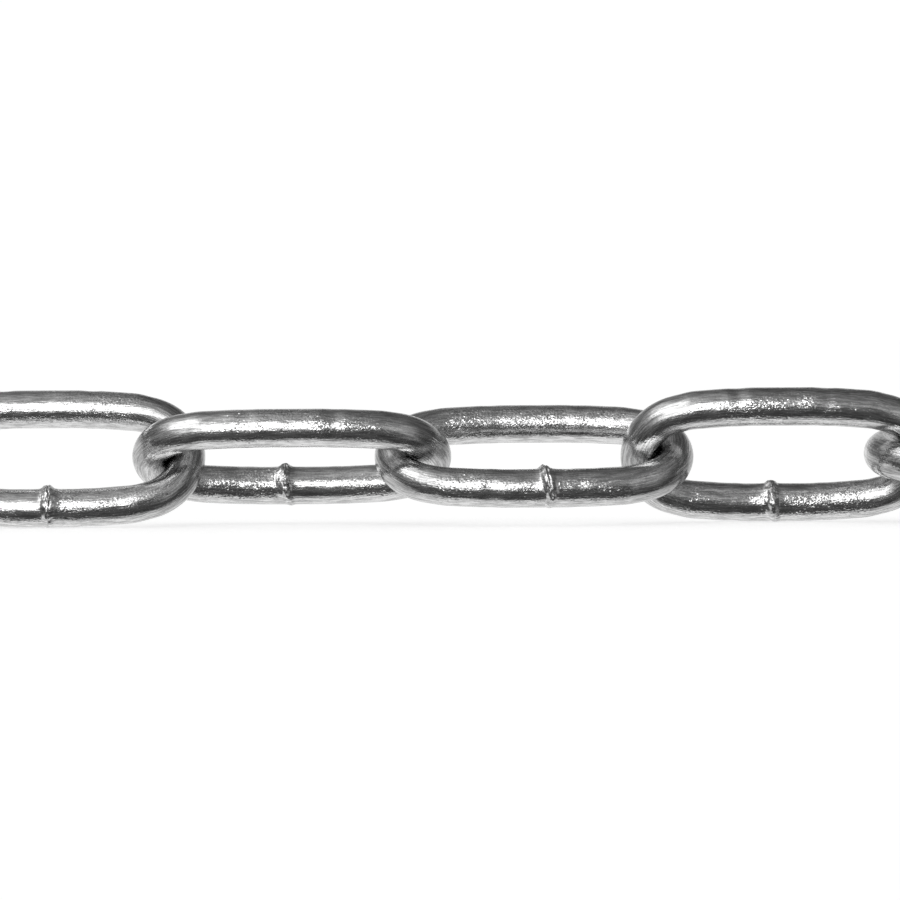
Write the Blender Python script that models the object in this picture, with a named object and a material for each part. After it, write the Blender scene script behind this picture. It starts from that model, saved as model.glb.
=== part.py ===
"""A metre of welded long-link steel chain, lying straight on a level floor.

Each link is one length of round wire, bent to a long ring and butt-welded in the middle of one side.
Metres, +Z up. X runs along the chain, and the origin is on the floor under the middle of the chain.
A link's roll is the angle of its width above the horizontal: 0 lies flat, 90 stands on edge.
"""

import math

import bpy
from mathutils import Vector

MM = 0.001

# The link, as such chain is made: 8 mm wire, 52 mm inside length, about 32 mm across its waist
WIRE_DIAMETER = 8.0 * MM
INSIDE_LENGTH = 52.0 * MM
WAIST_WIDTH = 31.8 * MM
CROWN_OUTSIDE_RADIUS = 15.0 * MM
STRAIGHT_LENGTH = 18.0 * MM

# The butt weld's bead, which stands proud on the inside of the link only
WELD_WIDTH = 4.4 * MM
WELD_CREST_WIDTH = 2.0 * MM
WELD_HEIGHT = 0.8 * MM

# Room between two links along the chain: crowns that don't cross squarely can't nest as closely
SQUARE_PLAY = 0.4 * MM
SKEW_PLAY = 0.8 * MM
FULL_SKEW_DEG = 25.0

# One roll for each link, and how far its weld lies from the middle, from the left end to the right one
ROLLS_DEG = (150, 59, 149, 34, 121, 32, 133, 59, 148, 33, 121, 11, 121, 32, 133, 59, 147, 59, 150)
WELD_SHIFTS_MM = (
    0.8, -1.5, 1.1, 1.9, -0.7, 2.0, -1.4, 1.2, -1.6, 2.0,
    -1.4, 0.9, 1.6, -2.0, 0.6, -0.9, 1.3, -1.7, 0.4,
)
LINK_COUNT = len(ROLLS_DEG)
ROOT_LINK = LINK_COUNT // 2

SECTION_SIDES = 12
CROWN_SEGMENTS = 9

WIRE_RADIUS = WIRE_DIAMETER / 2
SIDE_OFFSET = WAIST_WIDTH / 2 - WIRE_RADIUS
CROWN_RADIUS = CROWN_OUTSIDE_RADIUS - WIRE_RADIUS
TIP = INSIDE_LENGTH / 2 + WIRE_RADIUS
CROWN_CENTRE = TIP - CROWN_RADIUS

# A polygon of these corners has the area of the round wire, and its flats are this far from its middle
CORNER_RADIUS = WIRE_RADIUS * math.sqrt(
    2 * math.pi / (SECTION_SIDES * math.sin(2 * math.pi / SECTION_SIDES))
)
FLAT_RADIUS = CORNER_RADIUS * math.cos(math.pi / SECTION_SIDES)


def clear_scene():
    for thing in list(bpy.data.objects):
        bpy.data.objects.remove(thing, do_unlink=True)


def zinc_plated_steel():
    material = bpy.data.materials.new("zinc_plated_steel")
    material.use_nodes = True
    shader = material.node_tree.nodes["Principled BSDF"]
    shader.inputs["Base Color"].default_value = (0.70, 0.71, 0.72, 1.0)
    shader.inputs["Metallic"].default_value = 1.0
    shader.inputs["Roughness"].default_value = 0.32
    return material


def crown_stations(half_turn):
    """Points and outward directions round the crown at +X, from the -Y side to the +Y side."""
    step = 2 * half_turn / CROWN_SEGMENTS
    # corners lie a little outside the arc, so that corners and chords straddle it
    radius = 2 * CROWN_RADIUS / (1 + math.cos(step / 2))
    stations = []
    for index in range(CROWN_SEGMENTS + 1):
        angle = -half_turn + index * step
        outward = Vector((math.cos(angle), math.sin(angle), 0))
        stations.append((Vector((CROWN_CENTRE, 0, 0)) + radius * outward, outward, 0.0))
    return stations


def side_stations(places, side):
    """Points along one straight side, each with its outward direction and its share of the weld bead."""
    outward = Vector((0, side, 0))
    return [(Vector((x, side * SIDE_OFFSET, 0)), outward, bead) for x, bead in places]


def link_stations(weld_shift):
    """The link's centre line as one closed run of stations, in the XY plane, with the weld at -Y."""
    # the sides bow outwards a little, so each crown turns through slightly less than half a circle
    lean = math.atan2(SIDE_OFFSET - CROWN_RADIUS, CROWN_CENTRE - STRAIGHT_LENGTH / 2)
    crown = crown_stations(math.pi / 2 - lean)
    end = STRAIGHT_LENGTH / 2
    foot = WELD_WIDTH / 2
    crest = WELD_CREST_WIDTH / 2
    bead = [(weld_shift + x, share) for x, share in ((-foot, 0), (-crest, 1), (crest, 1), (foot, 0))]
    welded = [(-end, 0)] + bead + [(end, 0)]
    plain = [(end, 0), (-end, 0)]
    far_crown = [(-point, -outward, share) for point, outward, share in crown]
    return side_stations(welded, -1) + crown + side_stations(plain, 1) + far_crown


def section_ring(station, first_flat):
    """One ring of corners round the wire. first_flat is the angle of a flat from outward towards +Z."""
    point, outward, bead = station
    ring = []
    for index in range(SECTION_SIDES):
        angle = first_flat + (index + 0.5) * 2 * math.pi / SECTION_SIDES
        inner_side = max(0.0, -math.cos(angle))
        radius = CORNER_RADIUS + bead * WELD_HEIGHT * inner_side
        across = math.cos(angle) * outward + math.sin(angle) * Vector((0, 0, 1))
        ring.append(point + radius * across)
    return ring


def link_mesh(name, roll, weld_shift, middle_from_origin):
    """A closed ring of wire. Its flats are turned so that a link lying on its lower side has one level."""
    flat_facing_down = roll - math.pi / 2
    rings = [section_ring(station, flat_facing_down) for station in link_stations(weld_shift)]
    shift = Vector((middle_from_origin, 0, 0))
    corners = [corner + shift for ring in rings for corner in ring]
    faces = []
    for ring in range(len(rings)):
        following = (ring + 1) % len(rings)
        for side in range(SECTION_SIDES):
            beside = (side + 1) % SECTION_SIDES
            faces.append(
                (
                    ring * SECTION_SIDES + side,
                    following * SECTION_SIDES + side,
                    following * SECTION_SIDES + beside,
                    ring * SECTION_SIDES + beside,
                )
            )
    mesh = bpy.data.meshes.new(name)
    mesh.from_pydata(corners, [], faces)
    mesh.shade_smooth()
    mesh.validate()
    return mesh


def pitch(first_roll, second_roll):
    """The distance between the middles of two links that hang in each other."""
    skew = abs(abs(second_roll - first_roll) - 90)
    return INSIDE_LENGTH - SQUARE_PLAY - SKEW_PLAY * (skew / FULL_SKEW_DEG) ** 2


def link_middles():
    """Where the middle of each link lies along X, with the whole chain centred on zero."""
    middles = [0.0]
    for first, second in zip(ROLLS_DEG, ROLLS_DEG[1:]):
        middles.append(middles[-1] + pitch(first, second))
    return [middle - middles[-1] / 2 for middle in middles]


def hinge_place(index, middles):
    """Where along X a link turns on its neighbour: in the middle of the neighbour's crown wire."""
    if index == ROOT_LINK:
        return middles[index]
    if index > ROOT_LINK:
        return middles[index - 1] + TIP
    return middles[index + 1] - TIP


def add_chain(material):
    """Links on one straight axis, each with its origin where it turns on the one nearer the middle."""
    lowest_side = max(math.sin(math.radians(roll)) for roll in ROLLS_DEG)
    axis = bpy.data.objects.new("chain_axis", None)
    axis.location.z = SIDE_OFFSET * lowest_side + FLAT_RADIUS
    bpy.context.collection.objects.link(axis)
    middles = link_middles()
    for index, roll_deg in enumerate(ROLLS_DEG):
        name = f"link_{index + 1:02d}"
        roll = math.radians(roll_deg)
        place = hinge_place(index, middles)
        mesh = link_mesh(name, roll, WELD_SHIFTS_MM[index] * MM, middles[index] - place)
        mesh.materials.append(material)
        link = bpy.data.objects.new(name, mesh)
        link.parent = axis
        link.location.x = place
        link.rotation_euler.x = roll
        bpy.context.collection.objects.link(link)


clear_scene()
add_chain(zinc_plated_steel())
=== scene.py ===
import math

import bpy
import numpy as np
from mathutils import Matrix, Vector, noise


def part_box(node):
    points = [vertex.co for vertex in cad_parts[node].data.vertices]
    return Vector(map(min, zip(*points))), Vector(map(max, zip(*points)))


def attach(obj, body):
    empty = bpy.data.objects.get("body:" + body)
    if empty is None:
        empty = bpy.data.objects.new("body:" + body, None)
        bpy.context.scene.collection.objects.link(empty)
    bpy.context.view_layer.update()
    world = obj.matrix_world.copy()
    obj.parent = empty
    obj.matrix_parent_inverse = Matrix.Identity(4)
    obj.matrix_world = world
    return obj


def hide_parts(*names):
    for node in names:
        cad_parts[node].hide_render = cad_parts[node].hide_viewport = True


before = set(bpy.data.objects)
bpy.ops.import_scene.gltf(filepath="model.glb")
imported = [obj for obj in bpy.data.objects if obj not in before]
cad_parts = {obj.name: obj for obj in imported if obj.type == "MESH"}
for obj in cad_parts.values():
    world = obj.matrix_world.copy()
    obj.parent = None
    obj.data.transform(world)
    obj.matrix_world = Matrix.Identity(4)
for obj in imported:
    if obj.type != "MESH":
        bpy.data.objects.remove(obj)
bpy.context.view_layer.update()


# The wire of one link is 8 mm drawn steel, bent round two formers into a long ring. Its two ends meet in
# the middle of the lower side. All lengths of a link are in millimetres until its mesh is made.
WIRE_RADIUS = 4.0
SIDE_OFFSET = 11.9
CROWN_RADIUS = 11.0
CROWN_CENTRE = 19.0
STRAIGHT_HALF = 9.0
LINE_STEP = 0.1
SPRING_BACK = 2.4


def even_steps(points, step):
    """The same closed line with its points spaced evenly, and its whole length."""
    closed = np.vstack([points, points[:1]])
    run = np.concatenate([[0.0], np.cumsum(np.hypot(*np.diff(closed, axis=0).T))])
    places = np.linspace(0.0, run[-1], round(run[-1] / step), endpoint=False)
    line = np.stack([np.interp(places, run, closed[:, axis]) for axis in (0, 1)], 1)
    return line, run[-1]


def bent_line():
    """The middle of the wire, starting in the middle of the lower side and moving towards +X."""
    lean = math.atan2(SIDE_OFFSET - CROWN_RADIUS, CROWN_CENTRE - STRAIGHT_HALF)
    turn = np.linspace(lean - math.pi / 2, math.pi / 2 - lean, 500)
    crown = np.stack([CROWN_CENTRE + CROWN_RADIUS * np.cos(turn), CROWN_RADIUS * np.sin(turn)], 1)
    start = np.array([[0.0, -SIDE_OFFSET], [STRAIGHT_HALF, -SIDE_OFFSET]])
    upper = np.array([[STRAIGHT_HALF, SIDE_OFFSET], [-STRAIGHT_HALF, SIDE_OFFSET]])
    end = np.array([[-STRAIGHT_HALF, -SIDE_OFFSET]])
    line = even_steps(np.vstack([start, crown, upper, -crown, end]), LINE_STEP)[0]
    # the wire springs back a little, so straight and bend run into each other
    reach = round(SPRING_BACK / LINE_STEP)
    share = np.hanning(2 * reach + 3)[1:-1]
    share /= share.sum()
    padded = np.vstack([line[-reach:], line, line[:reach]])
    line = np.stack([np.convolve(padded[:, axis], share, "valid") for axis in (0, 1)], 1)
    line[:, 0] *= (CROWN_CENTRE + CROWN_RADIUS) / line[:, 0].max()
    line[:, 1] *= SIDE_OFFSET / line[:, 1].max()
    return even_steps(line, LINE_STEP)


LINE, WIRE_LENGTH = bent_line()


def along_wire(values, places):
    """Values of the line's points, read at any distance along the wire."""
    at = np.arange(len(values)) * (WIRE_LENGTH / len(values))
    return np.interp(places % WIRE_LENGTH, at, values, period=WIRE_LENGTH)


# The butt weld is made by pressing the two hot ends together, which squeezes a ragged bead out of the
# joint. Each bead is heaviest on one side of the wire, and is dressed down towards the outside of the link.
BEAD_RINGS = 36
BEAD_ZONE = 3.6
WIRE_RINGS = 80
ROUND_SIDES = 88
LUMPS_PER_MM = 0.95
GRIT_PER_MM = 2.1
WANDER_PER_MM = 0.40


def ring_places():
    """Distances from the weld along the wire, close together at the bead and wider elsewhere."""
    bead = np.linspace(0.0, BEAD_ZONE, BEAD_RINGS, endpoint=False)
    wire = np.linspace(BEAD_ZONE, WIRE_LENGTH / 2, WIRE_RINGS)
    half = np.concatenate([bead, wire])
    return np.concatenate([half, WIRE_LENGTH - half[-2:0:-1]])


def bead_shape(number):
    """A bead's heaviest side in degrees, its slant and start, its reach to left and right, and its seam."""
    # links 8 to 11 have beads of their own shape, and the others vary about a common one
    shapes = {
        8: (104, 0.10, -0.15, 1.15, 1.50, 0.6),
        9: (185, 1.00, 0.75, 1.60, 1.00, 0.3),
        10: (85, 0.90, 0.25, 1.10, 1.60, 0.8),
        11: (145, 0.40, 0.30, 1.50, 1.20, 0.1),
    }
    waver = [math.sin(number * pace) for pace in (2.4, 1.7, 3.1, 4.3, 5.1)]
    other = (
        180 + 35 * waver[0], 0.5 + 0.4 * waver[1], 0.2,
        1.0 + 0.15 * waver[2], 1.1 + 0.2 * waver[3], 0.4 + 0.3 * waver[4],
    )
    return shapes.get(number, other)


def bead_relief(away, angle, number):
    """Height of the squeezed-out metal, away from the weld's middle and round the wire, and its mask.

    The number gives each bead its own lumps.
    """
    heavy, slant, start, left, right, seam = bead_shape(number)
    share = (1 + np.cos(angle - math.radians(heavy))) / 2
    askew = away - slant * np.cos(angle) - start
    half = np.where(askew < 0, left, right) * (0.26 + 0.74 * share ** 0.8)
    near = np.exp(-np.abs(askew / half / 1.7) ** 2)
    lumps = np.zeros_like(near)
    grit = np.zeros_like(near)
    wander = np.zeros_like(near)
    for spot in zip(*np.nonzero(near > 0.003)):
        turn = angle[spot]
        round_wire = WIRE_RADIUS * Vector((0.0, math.cos(turn), math.sin(turn)))
        point = round_wire + Vector((away[spot], 0.0, 0.0))
        lumps[spot] = noise.noise(point * LUMPS_PER_MM + Vector((37.0 * number, 0.0, 0.0)))
        grit[spot] = noise.noise(point * GRIT_PER_MM + Vector((0.0, 19.0 * number, 0.0)))
        wander[spot] = noise.noise(round_wire * WANDER_PER_MM + Vector((0.0, 0.0, 23.0 * number)))
    askew = askew + 0.25 * wander
    # a lumpy hill on a low skirt, with a groove along the seam and small pockets at the foot
    hill = np.exp(-np.abs(askew / half) ** 2.3)
    tall = 0.03 + 0.84 * share ** 0.9
    groove = (0.06 + 0.30 * seam) * share ** 0.6
    groove = groove * np.exp(-((askew - 0.15 * right + 0.3 * lumps) / 0.21) ** 2)
    skirt = 0.32 * share * np.exp(-np.abs(askew) / 0.9)
    pocket = 0.09 * np.exp(-((np.abs(askew) - half * 1.25) / 0.28) ** 2)
    pocket = pocket * np.clip(0.4 + 2.0 * grit, 0.0, 1.0)
    relief = tall * hill * (0.80 + 0.50 * lumps + 0.24 * grit)
    relief = relief + skirt - groove * hill - pocket * share ** 0.4
    return relief, hill


# One link is a closed ring of that wire, 88 sides round. Bending stretches the outside of the crowns, so
# they are thinner there. Each corner keeps its place on the unbent wire, for the marks left by drawing it.
CROWN_THINNING = 0.15
CROWN_BULGE = 0.05
CROWN_SHIFT = 0.40


def link_surface(number, weld_shift):
    """Rings of points of one link, with their place on the unbent wire, bend and bead."""
    places = ring_places()
    line_x = along_wire(LINE[:, 0], places + weld_shift)
    line_y = along_wire(LINE[:, 1], places + weld_shift)
    ahead = np.roll(LINE, -1, axis=0) - np.roll(LINE, 1, axis=0)
    heading = np.unwrap(np.arctan2(ahead[:, 1], ahead[:, 0]))
    tangent_x = along_wire(np.cos(heading), places + weld_shift)
    tangent_y = along_wire(np.sin(heading), places + weld_shift)
    swing = np.gradient(heading, WIRE_LENGTH / len(LINE))
    bend = np.clip(along_wire(swing, places + weld_shift) * CROWN_RADIUS, 0.0, 1.0)

    angle = np.arange(ROUND_SIDES) * (2 * math.pi / ROUND_SIDES)
    bend, turn = np.meshgrid(bend, angle, indexing="ij")
    away = np.where(places > WIRE_LENGTH / 2, places - WIRE_LENGTH, places)
    relief, bead = bead_relief(np.broadcast_to(away[:, None], turn.shape), turn, number)
    outward = (WIRE_RADIUS - CROWN_THINNING * bend + relief) * np.cos(turn) - CROWN_SHIFT * bend
    sideways = (WIRE_RADIUS + CROWN_BULGE * bend + relief) * np.sin(turn)
    x = line_x[:, None] + outward * tangent_y[:, None]
    y = line_y[:, None] - outward * tangent_x[:, None]
    points = np.stack([x, y, sideways], 2)
    unbent = np.stack(
        [
            np.broadcast_to(places[:, None], turn.shape) + number * WIRE_LENGTH,
            WIRE_RADIUS * np.cos(turn),
            WIRE_RADIUS * np.sin(turn),
        ],
        2,
    )
    return points, unbent, bend, bead


def link_mesh(name, number, weld_shift):
    """The link's surface as quads, closed along and round the wire."""
    points, unbent, bend, bead = link_surface(number, weld_shift)
    rings, sides = bend.shape
    ring, side = np.meshgrid(np.arange(rings), np.arange(sides), indexing="ij")
    next_ring, next_side = (ring + 1) % rings, (side + 1) % sides
    corners = [(ring, side), (next_ring, side), (next_ring, next_side), (ring, next_side)]
    quads = np.stack([a * sides + b for a, b in corners], 2).reshape(-1, 4)
    mesh = bpy.data.meshes.new(name)
    mesh.from_pydata(points.reshape(-1, 3) / 1000, [], quads)
    mesh.shade_smooth()

    # the last ring of faces ends where the wire ends, not where it starts again
    own = unbent.reshape(-1, 3)[quads]
    ends = (ring == rings - 1).reshape(-1)
    own[ends, 1:3, 0] += WIRE_LENGTH
    place = mesh.attributes.new("wire_place", "FLOAT_VECTOR", "CORNER")
    place.data.foreach_set("vector", own.reshape(-1))
    for key, values in (("bend", bend), ("bead", bead)):
        layer = mesh.attributes.new(key, "FLOAT", "POINT")
        layer.data.foreach_set("value", values.reshape(-1))
    return mesh


# The finish is bright zinc plated over the drawn wire. It keeps the draw lines along the wire and has a
# fine grain that sparkles at the edge of every highlight. Where the bending tools pressed, it is smoother
# and darker.
def put(tree, kind, inputs=None, **settings):
    """A node with its settings. An input is a value or another node's output."""
    made = tree.nodes.new(kind)
    for name, value in settings.items():
        setattr(made, name, value)
    for name, value in (inputs or {}).items():
        if isinstance(value, bpy.types.NodeSocket):
            tree.links.new(value, made.inputs[name])
        else:
            made.inputs[name].default_value = value
    return made


def sum_of(tree, *terms):
    """The sum of products of a value output and a number."""
    total = None
    for output, factor in terms:
        inputs = {0: output, 1: factor, 2: total if total is not None else 0.0}
        total = put(tree, "ShaderNodeMath", inputs, operation="MULTIPLY_ADD").outputs[0]
    return total


def spread(tree, output, low, high, to_low=0.0, to_high=1.0):
    """Maps a value's range from low to high smoothly to another range."""
    inputs = {"Value": output, "From Min": low, "From Max": high, "To Min": to_low, "To Max": to_high}
    return put(tree, "ShaderNodeMapRange", inputs, interpolation_type="SMOOTHSTEP").outputs["Result"]


def stretched_noise(tree, place, scale, detail, roughness=0.5):
    """Noise whose grains are 1/scale millimetres long in each direction."""
    moved = put(tree, "ShaderNodeMapping", {"Vector": place, "Scale": scale}).outputs["Vector"]
    inputs = {"Vector": moved, "Scale": 1.0, "Detail": detail, "Roughness": roughness}
    return put(tree, "ShaderNodeTexNoise", inputs).outputs["Fac"]


zinc = bpy.data.materials.new("zinc_plated_steel")
zinc.use_nodes = True
tree = zinc.node_tree
tree.nodes.clear()
place = put(tree, "ShaderNodeAttribute", attribute_name="wire_place").outputs["Vector"]
bend = put(tree, "ShaderNodeAttribute", attribute_name="bend").outputs["Fac"]
bead = put(tree, "ShaderNodeAttribute", attribute_name="bead").outputs["Fac"]

waves = stretched_noise(tree, place, (0.16, 0.30, 0.30), 1.0)
patches = stretched_noise(tree, place, (0.07, 0.16, 0.16), 2.0)
lines = stretched_noise(tree, place, (0.30, 2.6, 2.6), 3.0, 0.6)
scratches = stretched_noise(tree, place, (0.25, 6.0, 6.0), 2.0)
grain = stretched_noise(tree, place, (2.0, 2.8, 2.8), 1.0, 0.5)
specks = stretched_noise(tree, place, (0.8, 2.2, 2.2), 2.0, 0.6)
melt = stretched_noise(tree, place, (1.5, 1.8, 1.8), 1.0)

coarse = spread(tree, patches, 0.40, 0.62, 0.3, 1.5)
bend_share = spread(tree, bend, 0.1, 0.9, 1.0, 0.5)
bead_share = spread(tree, bead, 0.1, 0.7, 1.0, 0.35)
both_shares = put(tree, "ShaderNodeMath", {0: bend_share, 1: bead_share}, operation="MULTIPLY").outputs[0]
grain_share = put(tree, "ShaderNodeMath", {0: coarse, 1: both_shares}, operation="MULTIPLY").outputs[0]
grain_height = put(tree, "ShaderNodeMath", {0: grain, 1: grain_share}, operation="MULTIPLY").outputs[0]
pits = spread(tree, specks, 0.70, 0.74)
melted = put(tree, "ShaderNodeMath", {0: melt, 1: bead}, operation="MULTIPLY").outputs[0]
height = sum_of(
    tree,
    (waves, 0.13), (lines, 0.05), (grain_height, 0.05),
    (scratches, 0.006), (pits, -0.01), (melted, 0.07),
)
relief = put(tree, "ShaderNodeBump", {"Strength": 1.0, "Distance": 0.001, "Height": height})

# each small zinc crystal leans its own way: most of them hardly at all, and a few steeply
LEAST_LEAN = 0.06
STEEP_LEAN = 0.7
crystal_place = put(tree, "ShaderNodeMapping", {"Vector": place, "Scale": (2.8, 4.2, 4.2)}).outputs["Vector"]
crystals = put(tree, "ShaderNodeTexVoronoi", {"Vector": crystal_place, "Scale": 1.0}).outputs["Color"]
tilt = put(tree, "ShaderNodeVectorMath", {0: crystals, 1: (0.5, 0.5, 0.5)}, operation="SUBTRACT").outputs[0]
steep = put(tree, "ShaderNodeVectorMath", {0: tilt, 1: tilt}, operation="DOT_PRODUCT").outputs["Value"]
steep = put(tree, "ShaderNodeMath", {0: steep, 1: 2.0}, operation="POWER").outputs[0]
lean = put(
    tree, "ShaderNodeMath",
    {0: steep, 1: STEEP_LEAN, 2: LEAST_LEAN}, operation="MULTIPLY_ADD",
).outputs[0]
lean = put(tree, "ShaderNodeMath", {0: lean, 1: grain_share}, operation="MULTIPLY").outputs[0]
leaning = put(tree, "ShaderNodeVectorMath", {0: tilt, "Scale": lean}, operation="SCALE").outputs[0]
facing = put(
    tree, "ShaderNodeVectorMath",
    {0: relief.outputs["Normal"], 1: leaning}, operation="ADD",
).outputs[0]
facing = put(tree, "ShaderNodeVectorMath", {0: facing}, operation="NORMALIZE").outputs[0]

fleck = put(tree, "ShaderNodeSeparateColor", {"Color": crystals}).outputs["Red"]
streaks = spread(tree, lines, 0.36, 0.64)
tone = sum_of(
    tree,
    (patches, 0.20), (streaks, 0.38), (bend, -0.06), (pits, -0.35), (bead, 0.04), (fleck, 0.12),
)
tone = put(tree, "ShaderNodeMath", {0: tone, 1: 0.38}, operation="ADD", use_clamp=True).outputs[0]
colour = put(tree, "ShaderNodeCombineColor", {"Red": tone, "Green": tone, "Blue": tone}).outputs["Color"]
rough = sum_of(tree, (lines, 0.10), (patches, 0.08), (bend, 0.04), (bead, 0.05), (pits, 0.2))
rough = put(tree, "ShaderNodeMath", {0: rough, 1: 0.05}, operation="ADD").outputs[0]
shader = put(
    tree,
    "ShaderNodeBsdfPrincipled",
    {"Base Color": colour, "Metallic": 1.0, "Roughness": rough, "Normal": facing},
)
put(tree, "ShaderNodeOutputMaterial", {"Surface": shader.outputs["BSDF"]})


# Nineteen links hang in each other, each rolled to the way it came to rest, with its weld a little off the
# middle of its side. Every one is a body of its own that turns in its neighbour, and each middle is where
# the CAD link has it.
ROLLS_DEG = (150, 59, 149, 34, 121, 32, 133, 59, 148, 33, 121, 11, 121, 32, 133, 59, 147, 59, 150)
WELD_SHIFTS = (
    0.8, -1.5, 1.1, 1.9, -0.7, 2.0, -1.4, 1.2, -1.6, 2.0,
    -1.4, 0.9, 1.6, -2.0, 0.6, -0.9, 1.3, -1.7, 0.4,
)
for number, (roll, weld_shift) in enumerate(zip(ROLLS_DEG, WELD_SHIFTS), 1):
    node = f"link_{number:02d}"
    name = f"wire_link_{number:02d}"
    low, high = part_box(node)
    mesh = link_mesh(name, number, weld_shift)
    mesh.materials.append(zinc)
    link = bpy.data.objects.new(name, mesh)
    link.location = (Vector(low) + Vector(high)) / 2
    link.rotation_euler.x = math.radians(roll)
    bpy.context.collection.objects.link(link)
    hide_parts(node)
    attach(link, node)


# The floor is a wide pale matt board that glows a little, so that the chain's shadow on it stays faint.
# The metal doesn't mirror it: the studio's low white screen stands for it there.
FLOOR_HALF = 60.0
FLOOR_DROP = 0.00006
floor_paint = bpy.data.materials.new("pale_board")
floor_paint.use_nodes = True
tree = floor_paint.node_tree
tree.nodes.clear()
matt = put(tree, "ShaderNodeBsdfDiffuse", {"Color": (0.8, 0.8, 0.8, 1.0)})
glow = put(tree, "ShaderNodeEmission", {"Color": (1.0, 1.0, 1.0, 1.0), "Strength": 0.62})
both = put(tree, "ShaderNodeAddShader", {0: matt.outputs["BSDF"], 1: glow.outputs["Emission"]})
put(tree, "ShaderNodeOutputMaterial", {"Surface": both.outputs["Shader"]})

board = bpy.data.meshes.new("floor")
board_corners = [(FLOOR_HALF * x, FLOOR_HALF * y, 0.0) for x, y in ((-1, -1), (1, -1), (1, 1), (-1, 1))]
board.from_pydata(board_corners, [], [(0, 1, 2, 3)])
board.materials.append(floor_paint)
floor = bpy.data.objects.new("floor", board)
floor.location.z = -FLOOR_DROP
floor.visible_glossy = False
floor.visible_shadow = False
bpy.context.collection.objects.link(floor)


# The studio is a pale room, darker to the right. A large soft light stands in front and slightly left, a
# softer one higher up and further left, and two weak ones to the right. Below them the room is dark, down to
# a low white screen. The metal reflects it all from far away, and the floor gets even light.
def ramp(tree, value, stops):
    """Brightness over an angle in degrees from -180 to 180, straight between the stops."""
    made = put(tree, "ShaderNodeValToRGB", {"Fac": value})
    points = made.color_ramp.elements
    while len(points) > 1:
        points.remove(points[-1])
    for index, (angle, bright) in enumerate(stops):
        at = (angle + 180) / 360
        point = points[0] if index == 0 else points.new(at)
        point.position = at
        point.color = (bright, bright, bright, 1.0)
    return made.outputs["Color"]


world = bpy.data.worlds.new("studio")
bpy.context.scene.world = world
world.use_nodes = True
world.cycles.sampling_method = "NONE"
tree = world.node_tree
tree.nodes.clear()
toward = put(tree, "ShaderNodeTexCoord").outputs["Generated"]
split = put(tree, "ShaderNodeSeparateXYZ", {"Vector": toward})
to_front = put(tree, "ShaderNodeMath", {0: split.outputs["Y"], 1: -1.0}, operation="MULTIPLY").outputs[0]
rise = put(tree, "ShaderNodeMath", {0: split.outputs["Z"], 1: to_front}, operation="ARCTAN2").outputs[0]
rise = put(tree, "ShaderNodeMapRange", {"Value": rise, "From Min": -math.pi, "From Max": math.pi}).outputs[0]
side = put(tree, "ShaderNodeMath", {0: split.outputs["X"]}, operation="ARCSINE").outputs[0]
side = put(tree, "ShaderNodeMapRange", {"Value": side, "From Min": -math.pi, "From Max": math.pi}).outputs[0]

# the screen's edges run slightly aslant
SCREEN_SLANT = 0.12
slanted = put(
    tree, "ShaderNodeMath",
    {0: side, 1: SCREEN_SLANT, 2: -SCREEN_SLANT / 2}, operation="MULTIPLY_ADD",
).outputs[0]
screen_rise = put(tree, "ShaderNodeMath", {0: rise, 1: slanted}, operation="ADD").outputs[0]


def light(tree, height, heights, side, sides, strength):
    """A soft-edged light or wall, by its heights and its sides in degrees."""
    first, second = ramp(tree, height, heights), ramp(tree, side, sides)
    both = put(tree, "ShaderNodeVectorMath", {0: first, 1: second}, operation="MULTIPLY").outputs[0]
    return put(tree, "ShaderNodeVectorMath", {0: both, "Scale": strength}, operation="SCALE").outputs[0]


room = light(
    tree,
    rise,
    (
        (-68, 0.0), (-40, 0.02), (-25, 0.06), (-14, 0.12), (-2, 0.20), (20, 0.30), (45, 0.33),
        (72, 0.37), (86, 0.30), (104, 0.15), (128, 0.12), (150, 0.12), (167, 0.0),
    ),
    side,
    (
        (-75, 0.4), (-60, 0.68), (-45, 1.0), (-4, 1.0), (-1.5, 0.85), (0.5, 0.52),
        (4, 0.32), (15, 0.30), (45, 0.27), (60, 0.18), (80, 0.15),
    ),
    strength=1.0,
)
main_lamp = light(
    tree,
    rise,
    ((-7, 0.0), (2, 1.0), (27, 1.0), (38, 0.2), (52, 0.0)),
    side,
    (
        (-44, 0.0), (-34, 0.10), (-26, 0.28), (-10, 0.30), (-6.5, 1.0),
        (-3, 0.66), (-0.5, 0.15), (1.5, 0.02), (4, 0.0),
    ),
    strength=4.8,
)
upper_lamp = light(
    tree,
    rise,
    ((28, 0.0), (44, 1.0), (66, 1.0), (80, 0.4), (110, 0.2), (125, 0.0)),
    side,
    ((-58, 0.0), (-50, 0.35), (-42, 1.0), (-28, 1.0), (-14, 0.1), (-6, 0.0)),
    strength=1.6,
)
side_lamp = light(
    tree,
    rise,
    ((2, 0.0), (12, 1.0), (22, 1.0), (32, 0.4), (55, 0.2), (75, 0.0)),
    side,
    ((-2, 0.0), (3, 1.0), (12, 0.8), (50, 0.5), (62, 0.0)),
    strength=0.22,
)
far_lamp = light(
    tree,
    rise,
    ((-52, 0.0), (-40, 0.35), (-15, 1.0), (35, 1.0), (60, 0.3), (75, 0.0)),
    side,
    ((22, 0.0), (33, 1.0), (44, 1.0), (58, 0.2), (70, 0.0)),
    strength=0.18,
)
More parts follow.
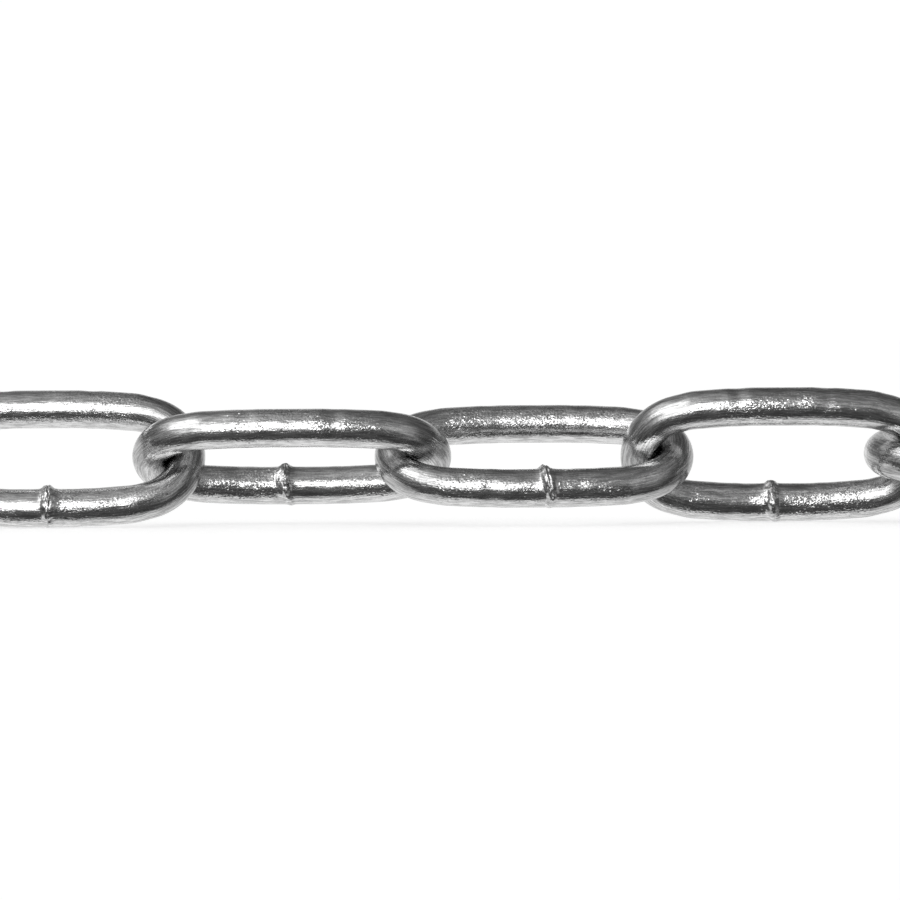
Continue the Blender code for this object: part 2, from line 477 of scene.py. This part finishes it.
screen = light(
    tree,
    screen_rise,
    ((-180, 0.76), (-84, 0.74), (-66, 0.0), (142, 0.0), (155, 0.35), (167, 0.72), (180, 0.76)),
    side,
    (
        (-80, 0.75), (-50, 0.7), (-34, 0.72), (-24, 1.0), (-2, 1.0), (4, 0.92),
        (15, 0.88), (45, 0.55), (58, 0.22), (80, 0.1),
    ),
    strength=1.05,
)
seen = (0.055, 0.055, 0.055)
for part in (room, main_lamp, upper_lamp, side_lamp, far_lamp, screen):
    seen = put(tree, "ShaderNodeVectorMath", {0: seen, 1: part}, operation="ADD").outputs[0]
path = put(tree, "ShaderNodeLightPath")
mirrored = put(tree, "ShaderNodeBackground", {"Color": seen})
on_floor = put(tree, "ShaderNodeBackground", {"Color": (1.0, 1.0, 1.0, 1.0), "Strength": 0.5})
backdrop = put(tree, "ShaderNodeBackground", {"Color": (1.0, 1.0, 1.0, 1.0), "Strength": 1.02})
lighting = put(
    tree,
    "ShaderNodeMixShader",
    {0: path.outputs["Is Diffuse Ray"], 1: mirrored.outputs[0], 2: on_floor.outputs[0]},
)
all_round = put(
    tree,
    "ShaderNodeMixShader",
    {0: path.outputs["Is Camera Ray"], 1: lighting.outputs[0], 2: backdrop.outputs[0]},
)
put(tree, "ShaderNodeOutputWorld", {"Surface": all_round.outputs[0]})
bpy.context.scene.view_settings.view_transform = "Standard"


# The camera looks along the floor at the five links in the middle, slightly from above, through a long
# lens. It stands square to the chain, and about 189 mm of it fill the picture's width.
CAMERA_DISTANCE = 0.9
CAMERA_RISE = math.radians(1.5)
CAMERA_ROLL = math.radians(-0.3)
PICTURE_WIDTH = 0.1888
SENSOR_WIDTH = 36.0
look_at = Vector((-0.0179, 0.0, 0.0155))
lens = bpy.data.cameras.new("camera")
lens.sensor_width = SENSOR_WIDTH
lens.lens = SENSOR_WIDTH * CAMERA_DISTANCE / PICTURE_WIDTH
lens.clip_start = 0.01
lens.clip_end = 100.0
camera = bpy.data.objects.new("camera", lens)
back = Vector((0.0, -math.cos(CAMERA_RISE), math.sin(CAMERA_RISE)))
camera.location = look_at + back * CAMERA_DISTANCE
turned = Matrix.Rotation(math.pi / 2 - CAMERA_RISE, 3, "X") @ Matrix.Rotation(CAMERA_ROLL, 3, "Z")
camera.rotation_euler = turned.to_euler()
bpy.context.collection.objects.link(camera)
bpy.context.scene.camera = camera
